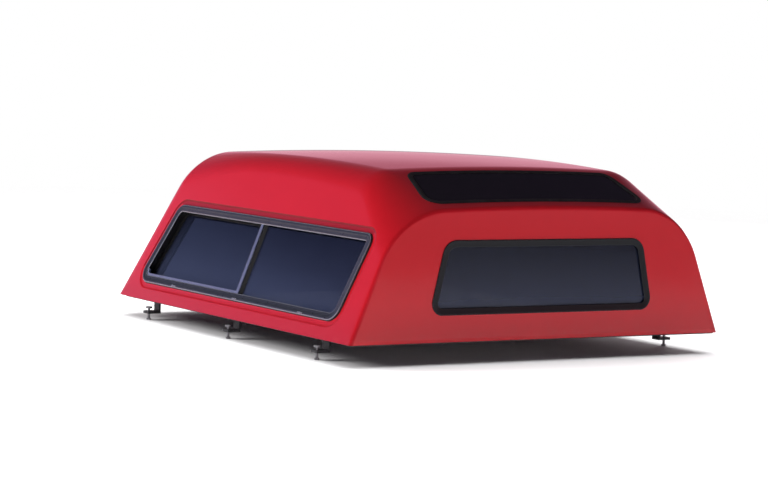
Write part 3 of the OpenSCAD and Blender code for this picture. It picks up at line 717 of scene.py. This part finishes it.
def build_shell(outer, inner, recesses):
    flange_loop = [(FLANGE_REAR_X, -BEYOND_Y), (BEYOND_X, -BEYOND_Y), (BEYOND_X, BEYOND_Y),
                   (FLANGE_REAR_X, BEYOND_Y), (FLANGE_REAR_X, FLANGE_Y),
                   (FLANGE_FRONT_X, FLANGE_Y), (FLANGE_FRONT_X, -FLANGE_Y),
                   (FLANGE_REAR_X, -FLANGE_Y)]
    cavity = boolean(inner, [prism("flange", flange_loop, -10, SKIN, np.eye(4))])
    shell = boolean(outer, [cavity])
    # thicken the wall round the side windows, then sink the recesses into it
    pads = [prism("panel", outline(SIDE_WINDOW, -16), -8, -1, frame)
            for frame in SIDE_FRAMES.values()]
    shell = boolean(shell, pads, "UNION")
    shell = boolean(shell, recesses.values())
    foot = rear_opening_half_width(OPENING_FOOT)
    top = rear_opening_half_width(OPENING_TOP)
    opening = [(-foot, OPENING_FOOT), (foot, OPENING_FOOT),
               (top, OPENING_TOP), (-top, OPENING_TOP)]
    cuts = [prism("cut", outline(SIDE_WINDOW, 13), -40, 40, frame)
            for frame in SIDE_FRAMES.values()]
    cuts += [prism("cut", outline(RAMP_WINDOW, 8), -60, 60, RAMP_FRAME),
             prism("cut", outline(FRONT_WINDOW, 10), -40, 40, FRONT_FRAME),
             prism("cut", rounded(opening, [5, 5, 80, 80]), -60, 60, REAR_FRAME)]
    for x in (-BOLT_X, BOLT_X):
        for y in (-BOLT_Y, BOLT_Y):
            hole = [(x + BOLT_HOLE_RADIUS * math.cos(a), y + BOLT_HOLE_RADIUS * math.sin(a))
                    for a in turn(24)]
            cuts.append(prism("cut", hole, -1, 8, np.eye(4)))
    return boolean(shell, cuts)


class Surface:
    """A parent surface that can be asked for its smooth normal (metres)."""

    def __init__(self, mesh, sign):
        self.sign = sign
        mesh.calc_loop_triangles()
        self.points = [v.co.copy() for v in mesh.vertices]
        self.triangles = [tuple(t.vertices) for t in mesh.loop_triangles]
        total = [Vector((0, 0, 0)) for _ in self.points]
        for triangle in mesh.loop_triangles:
            a, b, c = (self.points[i] for i in triangle.vertices)
            for i, p, q, r in ((0, a, b, c), (1, b, c, a), (2, c, a, b)):
                e1, e2 = q - p, r - p
                weight = e1.angle(e2) if e1.length > 1e-9 and e2.length > 1e-9 else 0
                total[triangle.vertices[i]] += triangle.normal * weight
        self.normals = [n.normalized() if n.length > 0 else Vector((0, 0, 1)) for n in total]
        self.tree = BVHTree.FromPolygons(self.points, self.triangles)

    def normal_at(self, point):
        """Blended normal of the nearest triangle, or None away from the surface."""
        place, _, index, distance = self.tree.find_nearest(point)
        if place is None or distance > 3e-4:
            return None
        corners = self.triangles[index]
        a, b, c = (self.points[i] for i in corners)
        na, nb, nc = (self.normals[i] for i in corners)
        v0, v1, v2 = b - a, c - a, place - a
        d00, d01, d11, d20, d21 = v0.dot(v0), v0.dot(v1), v1.dot(v1), v2.dot(v0), v2.dot(v1)
        den = d00 * d11 - d01 * d01
        if abs(den) < 1e-16:
            return na * self.sign
        v = (d11 * d20 - d01 * d21) / den
        w = (d00 * d21 - d01 * d20) / den
        return (na * (1 - v - w) + nb * v + nc * w).normalized() * self.sign


def shell_slot(centre, normal, source):
    """Material slot of a shell face: paint, inside, painted-shade recess wall or painted-shade
    recess floor.
    """
    if source in RECESSES:
        frame = SIDE_FRAMES["right" if centre.y < 0 else "left"]
        _, up, out = (np.array(centre) / MM - frame[:3, 3]) @ frame[:3, :3]
        if Vector(frame[:3, 1]).dot(normal) < -0.06:
            return 2    # painted shade: recess walls that face downward
        if up > 412 and out < -2.5:
            return 3    # painted shade: recess floor above the window
    if source is INNER or centre.z < 0.0002 or (source is None and centre.z < 0.0065):
        return 1
    return 0


def shade_shell(mesh):
    """Smooth normals from the parent surfaces; faces cut flat keep their own."""
    for material in (PAINT, INSIDE, PAINT_SHADE_WALL, PAINT_SHADE_FLOOR):
        mesh.materials.append(material)
    mesh.shade_smooth()
    normals = [None] * len(mesh.loops)
    for face in mesh.polygons:
        centre, normal = face.center, face.normal
        source = None
        for surface in (OUTER, *RECESSES, INNER):
            found = surface.normal_at(centre)
            if found is not None and found.dot(normal) > 0.93:
                source = surface
                break
        face.material_index = shell_slot(centre, normal, source)
        for i in face.loop_indices:
            found = None
            if source is not None:
                found = source.normal_at(mesh.vertices[mesh.loops[i].vertex_index].co)
            if found is None or found.dot(normal) < 0.7:
                found = normal
            normals[i] = tuple(found)
    mesh.normals_split_custom_set(normals)


outer_mesh = body_mesh("outer", 0, 0, OUTER_COUNTS)
inner_mesh = body_mesh("inner", SKIN, -8, INNER_COUNTS)
recess_meshes = {side: recess_cutter(side) for side in SIDE_FRAMES}
shell_mesh = build_shell(outer_mesh, inner_mesh, recess_meshes)
OUTER, INNER = Surface(outer_mesh, 1), Surface(inner_mesh, -1)
RECESSES = [Surface(mesh, -1) for mesh in recess_meshes.values()]

shell_mesh.materials.clear()
shade_shell(shell_mesh)
cap_shell = add_object(shell_mesh, "cap_shell")
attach(cap_shell, "cap")
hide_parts("shell")

# ---------------------------------------------------------------- side windows
# profiles: (inset from the window's outline, height outward)
# outside flange with a rounded nose, a step and a lip to the glass, then the sleeve
SIDE_FRAME_PROFILE = [
    (0.4, 1.9), (0.0, 2.6), (0.4, 4.4), (1.8, 5.6), (4.0, 6.0), (12.0, 6.0), (13.0, 5.7),
    (13.8, 4.9), (14.4, 4.7), (22, 4.7), (26.5, 4.3), (29.2, 3.2), (30.0, 1.6), (29.6, 0.4),
    (28.4, 0.1), (18.0, 0.1), (17.2, -0.4), (17.0, -1.2), (17.0, -50.8), (25.0, -50.8),
    (25.0, -53.8), (14.2, -53.8), (14.0, -53.2), (14.0, 1.7)]
HIGHLIGHT_BANDS = (2, 3, 10, 11)                   # profile steps painted lighter: painted highlight
SIDE_SEAL = fillet([(-2.2, -3.0), (12.6, -3.0), (12.6, 1.75), (1.0, 1.75), (-1.6, 0.2)],
                   [0.6, 0.3, 0.3, 0.8, 1.0])
# (x, height) of the near-black strip along the fixed bar, painted shade on the bar's front side
STRIP = fillet([(MULLION_X + 9.1, -13.9), (MULLION_X + 9.1, -5.0), (MULLION_X + 12.5, -4.6),
                (MULLION_X + 21.0, -13.9)], [0.2, 0.8, 1.6, 0.4])
SASH = ([(-743, 71), (SASH_LEAD_X + SASH_INSET, 71), (SASH_LEAD_X + SASH_INSET, 411),
         (-630, 411)], [52, 19, 19, 57])
SASH_PROFILE = [
    (18, -41.6), (18, -30.4), (18.4, -30.0), (30.6, -30.0), (31.6, -30.5), (32, -31.6),
    (32, -33.7), (26.5, -33.7), (26.5, -38.3), (32, -38.3), (32, -41.6), (31.6, -42),
    (18.4, -42)]


def side_window_frame(side, frame):
    mesh = sweep(side + "_frame", SIDE_WINDOW, SIDE_FRAME_PROFILE, frame, n=14, angle=28)
    add_part(mesh, side + "_window_frame", GREY)
    for material in (BLACK, BRIGHT, HIGHLIGHT_ALU):
        mesh.materials.append(material)
    ring = len(mesh.vertices) // len(SIDE_FRAME_PROFILE)
    for face in mesh.polygons:
        height = (np.array(face.center) / MM - frame[:3, 3]) @ frame[:3, 2]
        # painted shade: the sleeve and underside below the flange are black, for the shaded jamb
        # walls
        if height < 1.0:
            face.material_index = 1
        # painted highlight: the light-catching steps take the lighter aluminium
        if min(face.vertices) // ring in HIGHLIGHT_BANDS:
            face.material_index = 3


def side_window(side, frame):
    side_window_frame(side, frame)
    # rubber lip between flange and shell
    add_part(sweep(side + "_seal", SIDE_WINDOW, SIDE_SEAL, frame), side + "_window_seal",
             RUBBER)
    dress(side + "_mullion", BRIGHT, 1.3)
    # painted shade: near-black strip beside the fixed bar and near-black sash
    strip = loft(side + "_strip", [[at(frame, (x, v, w)) for x, w in STRIP]
                                   for v in (101.5, 381.5)])
    add_part(smooth(strip, 30), side + "_glazing_strip", SHADE_BLACK, replaces=False)
    add_part(sweep(side + "_sash", SASH, SASH_PROFILE, frame, n=10, angle=28),
             side + "_sash", SHADE_BLACK, body="slider_" + side)
    for name, material, bevel in (
            ("fixed_glass", GLASS, 0), ("sliding_glass", GLASS, 0), ("window_ring", BLACK, 0.8),
            ("window_screws", STEEL, 0.5), ("sash_latch", PLASTIC, 1.2),
            ("screen_frame", BLACK, 0.7), ("screen_mesh", SCREEN, 0)):
        dress(side + "_" + name, material, bevel)


for side, frame in SIDE_FRAMES.items():
    side_window(side, frame)

# ---------------------------------------------------------------- ramp window
GASKET = fillet(
    [(-2, 0.35), (-1.2, 2.6), (4, 4.0), (14, 3.8), (17.5, 1.6), (18, 0.2), (10.2, 0.2),
     (9.9, -9), (16, -9), (16, -11), (-2, -11), (-2, -8.6), (8.3, -8.6), (8.3, 0.35)],
    [0.2, 1.4, 3.0, 1.6, 0.6, 0.1, 0.1, 0.1, 0.5, 0.8, 0.8, 0.5, 0.1, 0.1])
PROBE_HEIGHT = 60


def ramp_lift(x, y):
    """Height of the shell's surface above the flat ramp plane."""
    start = Vector(at(RAMP_FRAME, (x, y, PROBE_HEIGHT)) * MM)
    distance = OUTER.tree.ray_cast(start, Vector(-RAMP_FRAME[:3, 2]))[3]
    # where the ray misses, a shallow parabola stands in for the surface
    return PROBE_HEIGHT - distance / MM if distance is not None else -x * x / 22680.0


def draped_pane(name, shape, inset, bottom, top, frame, lift, step):
    """A pane that follows the surface under it, with eased edges."""
    base = outline(shape, inset, n=10)
    base = densify(base, run_splits(base, step))
    cx, cy = np.mean([p[0] for p in base]), np.mean([p[1] for p in base])
    spread = [0.02, 0.15, 0.3, 0.45, 0.6, 0.75, 0.88, 0.96, 0.998]
    rows = [(k, top) for k in spread] + [(1.0, top - 0.6), (1.0, bottom + 0.6)]
    rows += [(k, bottom) for k in reversed(spread)]
    loops = []
    for k, w in rows:
        flat = [(cx + (x - cx) * k, cy + (y - cy) * k) for x, y in base]
        loops.append([at(frame, (x, y, w + lift(x, y))) for x, y in flat])
    return smooth(loft(name, loops, flip=True), 50)


add_part(sweep("ramp_gasket", RAMP_WINDOW, GASKET, RAMP_FRAME, lift=ramp_lift, step=24),
         "ramp_window_gasket", RUBBER)
add_part(draped_pane("ramp_pane", RAMP_WINDOW, inset=10.4, bottom=-4, top=0, frame=RAMP_FRAME,
                     lift=ramp_lift, step=22),
         "ramp_window_glass", GLASS_TOP)

# ---------------------------------------------------------------- front wall window
FRONT_FRAME_PROFILE = [
    (0.3, 0.3), (0.0, 1.0), (0.5, 3.0), (2.0, 3.9), (9, 4.0), (10, 3.6), (11, 3.2), (22, 3.2),
    (25, 2.4), (26, 1.0), (25.6, 0.3), (14.2, 0.3), (14.0, -0.2), (14, -24), (11, -24),
    (11, 0.3)]
add_part(sweep("front_frame", FRONT_WINDOW, FRONT_FRAME_PROFILE, FRONT_FRAME, angle=28),
         "front_window_frame", BLACK)
dress("front_window_glass", GLASS)
dress("front_window_ring", BLACK, 0.8)

# ---------------------------------------------------------------- rear door
DOOR_RAIL, DOOR_BOTTOM_RAIL = 34.0, 75
DOOR_EDGE_SCALE = [DOOR_BOTTOM_RAIL / DOOR_RAIL, 1, 1, 1]    # bottom, right, top, left
DOOR_PROFILE = [
    (0.3, 9.6), (0.0, 10.4), (0.0, 20.2), (0.5, 21.4), (1.7, 22.0), (16, 22.0), (17, 21.7),
    (18, 20.9), (19, 20.7), (30, 20.7), (32.6, 20.2), (33.8, 19.0), (34.0, 17.9),
    (34.0, 17.2), (26.5, 17.2), (26.5, 12.8), (34, 12.8), (34, 9.6), (33.4, 9.0), (0.9, 9.0)]
DOOR_BEAD = fillet([(34.3, 17.25), (34.3, 20.2), (38, 19.6), (42, 17.8), (42, 17.25)],
                   [0.1, 0.8, 1.5, 0.3, 0.1])
BEAD_SHAPE = (inset_polygon(DOOR[0], [41.2, 0, 0, 0]), DOOR[1])
WEATHERSTRIP = [(9 + 4.7 * math.cos(a), 4.7 + 3.9 * math.sin(a)) for a in turn(14)]

add_part(sweep("door_ring", DOOR, DOOR_PROFILE, REAR_FRAME, DOOR_EDGE_SCALE, n=16, angle=28),
         "door_frame", BLACK, body="door")
dress("door_glass", GLASS)
add_part(sweep("bead", BEAD_SHAPE, DOOR_BEAD, REAR_FRAME, n=14),
         "door_glazing_bead", RUBBER, body="door")
add_part(sweep("wstrip", DOOR, WEATHERSTRIP, REAR_FRAME, n=14, angle=60),
         "door_weatherstrip", RUBBER, body="door")

# ---------------------------------------------------------------- fittings
# CAD piece, material, bevel width
for name, material, bevel in (
        ("hinge_brackets", POWDER, 1.0), ("hinge_leaves", POWDER, 0.7),
        ("hinge_pins", STEEL, 0.7), ("handle_base", PLASTIC, 1.6),
        ("handle_lever", PLASTIC, 2.2), ("handle_cam", STEEL, 0.6),
        ("lock_cylinder", BRIGHT, 0.4), ("latch_rod_right", STEEL, 0),
        ("latch_rod_left", STEEL, 0), ("rod_guides", PLASTIC, 0.8),
        ("latch_strikers", STEEL, 0.8), ("strut_tube_right", POWDER, 1.2),
        ("strut_tube_left", POWDER, 1.2), ("strut_rod_right", CHROME, 0),
        ("strut_rod_left", CHROME, 0), ("strut_pivots", POWDER, 0.6),
        ("strut_studs", POWDER, 0.7), ("brake_light_housing", PLASTIC, 0.8),
        ("brake_light_lens", RED_LENS, 0.8), ("dome_light_base", WHITE, 1.2),
        ("dome_light_lens", CLEAR_LENS, 1.5), ("dome_light_switch", PLASTIC, 0.8),
        ("clamp_bodies", POWDER, 1.2), ("clamp_bolts", STEEL, 0.6),
        ("bolt_bushings", STEEL, 0.4), ("wiring_loom", RUBBER, 0), ("headliner", CLOTH, 0),
        ("rail_seal", FOAM, 1.5)):
    dress(name, material, bevel)

# round parts shade as round; their flat faces and edges stay crisp
for name in ("strut_tube_right", "strut_tube_left", "strut_rod_right", "strut_rod_left",
             "strut_studs", "hinge_pins", "clamp_bolts", "lock_cylinder", "latch_rod_right",
             "latch_rod_left", "bolt_bushings", "dome_light_lens", "wiring_loom", "headliner"):
    smooth(NODES[name].data, 32)
    for modifier in NODES[name].modifiers:
        modifier.harden_normals = True
add_bevel("wiring_loom", 2.4, 4)

# (share of the radius, share of the height) of a domed screw head
HEAD_PROFILE = [(1.0, -0.3), (1.0, 0.25), (0.93, 0.62), (0.74, 0.9), (0.5, 1.0)]
DRIVE_RADIUS, DRIVE_FLOOR = 0.44, 0.35        # six-sided drive, same shares


def screw_heads(name, spots, radius, height):
    """Domed screw heads with a recessed six-sided drive, on the rear door."""
    def loop(x, y, reach):
        return [(x + reach(a) * math.cos(a), y + reach(a) * math.sin(a)) for a in turn(24)]

    def drive_reach(a):
        flat = math.cos(math.pi / 6) / math.cos(a % (math.pi / 3) - math.pi / 6)
        return radius * DRIVE_RADIUS * flat

    verts, faces = [], []
    rows = len(HEAD_PROFILE) + 2
    for x, y, w in spots:
        start = len(verts)
        for share, z in HEAD_PROFILE:
            verts += placed(loop(x, y, lambda a: radius * share), w + height * z, REAR_FRAME)
        for z in (1.0, DRIVE_FLOOR):
            verts += placed(loop(x, y, drive_reach), w + height * z, REAR_FRAME)
        faces += band_faces(rows, 24, start) + end_faces(rows, 24, start)[::-1]
    add_part(smooth(mesh_from(name, verts, faces), 40), name, STEEL, body="door",
             replaces=False)


screw_heads("hinge_screws", [(hinge + x, y, 25.0) for hinge in (-380, 380) for x in (-19, 19)
                             for y in (503, 525)], radius=4.6, height=2.4)
screw_heads("handle_screws", [(x, 17.5 + y, 27.0) for x in (-31, 31) for y in (-15, 15)],
            radius=3.6, height=1.8)

HOOD_XS = (-430, 60, 550)
HOOD_HALF_LENGTH, HOOD_BOTTOM, HOOD_TOP = 17, 75.2, 82.4
# (inset, height outward, drop of the top edge)
HOOD_ROWS = [(0.0, 5.7, 0.0), (0.3, 7.6, 0.4), (1.2, 8.5, 1.2), (2.6, 8.7, 1.9)]


def weep_hoods(side, frame):
    """Small drain hoods along the bottom flange of a side window."""
    verts, faces = [], []
    for x in HOOD_XS:
        start = len(verts)
        for inset, w, drop in HOOD_ROWS:
            left, right = x - HOOD_HALF_LENGTH + inset, x + HOOD_HALF_LENGTH - inset
            low, high = HOOD_BOTTOM + inset * 0.4, HOOD_TOP - inset - drop * 0.4
            loop = rounded([(left, low), (right, low), (right, high), (left, high)],
                           [1.0, 1.0, 1.6, 1.6], 3)
            verts += placed(loop, w, frame)
        rows, n = len(HOOD_ROWS), len(loop)
        faces += band_faces(rows, n, start) + end_faces(rows, n, start)[::-1]
    # painted highlight: the hoods take the lighter aluminium of the frame's highlight bands
    add_part(smooth(mesh_from(side + "_hoods", verts, faces), 40), side + "_weep_hoods", HIGHLIGHT_ALU,
             replaces=False)


for side, frame in SIDE_FRAMES.items():
    weep_hoods(side, frame)

# ---------------------------------------------------------------- floor (metres from here on)
FLOOR_RADIUS = 12
FLOOR_Z = CAD_BOX[0][2] - 0.0005


def floor_material():
    """Pale floor that fades into the backdrop and looks darker in reflections."""
    net = material_net("floor_pale")
    distance = net.node("ShaderNodeVectorMath", {0: net.coords}, operation="LENGTH")
    fade = net.node("ShaderNodeMapRange", {"From Min": 3.2, "From Max": 9.5,
                                           "Value": distance.outputs["Value"]},
                    interpolation_type="SMOOTHSTEP")
    glossy_ray = net.node("ShaderNodeLightPath").outputs["Is Glossy Ray"]
    pale = net.mix(net.noise(scale=1.5), (0.78, 0.78, 0.785), (0.82, 0.82, 0.825))
    ground = net.principled({"Base Color": net.mix(glossy_ray, pale, (0.26, 0.26, 0.27)),
                             "Roughness": 0.8, "Specular IOR Level": 0.1})
    clear = net.node("ShaderNodeBsdfTransparent")
    return net.finish(net.mix_shader(fade.outputs["Result"], ground, clear))


floor_mesh = bpy.data.meshes.new("floor")
floor_mesh.from_pydata([(FLOOR_RADIUS * math.cos(a), FLOOR_RADIUS * math.sin(a), FLOOR_Z)
                        for a in turn(96)], [], [tuple(range(96))])
floor = add_object(floor_mesh, "floor")
floor_mesh.materials.append(floor_material())

# ---------------------------------------------------------------- world
# (height in the sky: 0 straight down, 0.5 horizon, 1 straight up; colour)
RIGHT_SKY = [
    (0.0, (0.16, 0.15, 0.16)), (0.49, (0.30, 0.27, 0.29)), (0.505, (0.80, 0.50, 0.58)),
    (0.535, (0.76, 0.44, 0.53)), (0.575, (0.42, 0.27, 0.40)), (0.615, (0.30, 0.36, 0.66)),
    (0.632, (0.16, 0.20, 0.42)), (0.65, (0.070, 0.080, 0.19)), (0.725, (0.035, 0.040, 0.075)),
    (0.85, (0.03, 0.033, 0.05)), (1.0, (0.06, 0.06, 0.07))]
# the half the roof mirrors goes softly from the horizon into the dark
LEFT_SKY = [
    (0.0, (0.16, 0.15, 0.16)), (0.49, (0.30, 0.27, 0.29)), (0.505, (0.82, 0.42, 0.51)),
    (0.54, (0.79, 0.35, 0.45)), (0.585, (0.56, 0.20, 0.28)), (0.64, (0.34, 0.12, 0.17)),
    (0.72, (0.15, 0.07, 0.10)), (0.79, (0.04, 0.035, 0.055)), (1.0, (0.06, 0.06, 0.07))]
BEHIND_CAP = (-0.876, 0.482, 0.0)             # away from the camera, where the sky is brightest


def studio_world():
    """White to the camera; reflections see a bright horizon under a dark dome."""
    net = Net(bpy.data.worlds.new("studio"), "ShaderNodeOutputWorld", "Generated")
    axes = net.axes()
    height = net.math("MULTIPLY_ADD", axes["Z"], 0.5, 0.5)
    leftward = net.node("ShaderNodeMapRange",
                        {"From Min": 0.0, "From Max": 0.25, "Value": axes["Y"]})
    sky = net.mix(leftward.outputs["Result"], net.stops(height, RIGHT_SKY, "EASE"),
                  net.stops(height, LEFT_SKY, "EASE"))
    facing = net.node("ShaderNodeVectorMath", {0: net.coords, 1: BEHIND_CAP},
                      operation="DOT_PRODUCT")
    strength = net.node("ShaderNodeMapRange", {
        "From Min": -1.0, "From Max": 0.7, "To Min": 0.30, "To Max": 1.0,
        "Value": facing.outputs["Value"]})
    mirrored = net.node("ShaderNodeBackground",
                        {"Color": sky, "Strength": strength.outputs["Result"]})
    plain = net.node("ShaderNodeBackground", {"Color": (1.0, 1.0, 1.0)})
    camera_ray = net.node("ShaderNodeLightPath").outputs["Is Camera Ray"]
    return net.finish(net.mix_shader(camera_ray, mirrored, plain))


bpy.context.scene.world = studio_world()


# ---------------------------------------------------------------- lights
def area_light(name, place, target, size, power, colour=(1, 1, 1)):
    light = bpy.data.lights.new(name, "AREA")
    light.shape, light.energy, light.color = "RECTANGLE", power, colour
    light.size, light.size_y = size
    obj = add_object(light, name)
    obj.location = place
    direction = Vector(target) - Vector(place)
    obj.rotation_euler = direction.to_track_quat("-Z", "Y").to_euler()
    obj.visible_glossy = False
    return obj


area_light("key", place=(-5.2, -10.8, 6.2), target=(0, 0, 0.2), size=(7.0, 5.2), power=1560,
           colour=(1.0, 0.985, 0.97))
area_light("fill", place=(-4.4, 5.8, 2.2), target=(0, 0, 0.2), size=(3.5, 2.6), power=170)
area_light("front", place=(6.8, 1.0, 0.6), target=(0.6, 0, 0.2), size=(3.0, 1.2), power=36)
floor_light = area_light("floor_light", place=(0, 0, 9.0), target=(0, 0, 0), size=(15, 15),
                         power=2600)
floor_only = bpy.data.collections.new("floor_only")
floor_only.objects.link(floor)
floor_light.light_linking.receiver_collection = floor_only

# ---------------------------------------------------------------- camera
CAMERA_PLACE = np.array([8.613, -5.566, 1.061])
CAMERA_AIM = np.array([-0.10, -0.04, 0.27])
CAMERA_RIGHT = np.array([0.63407, 0.77192, 0.04554])    # made square to the view below

camera = bpy.data.cameras.new("camera")
camera_object = add_object(camera, "camera")
forward = unit(CAMERA_AIM - CAMERA_PLACE)
right = unit(CAMERA_RIGHT - forward * (CAMERA_RIGHT @ forward))
up = np.cross(right, forward)
camera_object.matrix_world = Matrix(local_frame(right, up, -forward, CAMERA_PLACE).tolist())
camera.sensor_width, camera.lens = 36.0, 122.0
camera.clip_end = 200
bpy.context.scene.camera = camera_object
bpy.context.scene.view_settings.view_transform = "Standard"
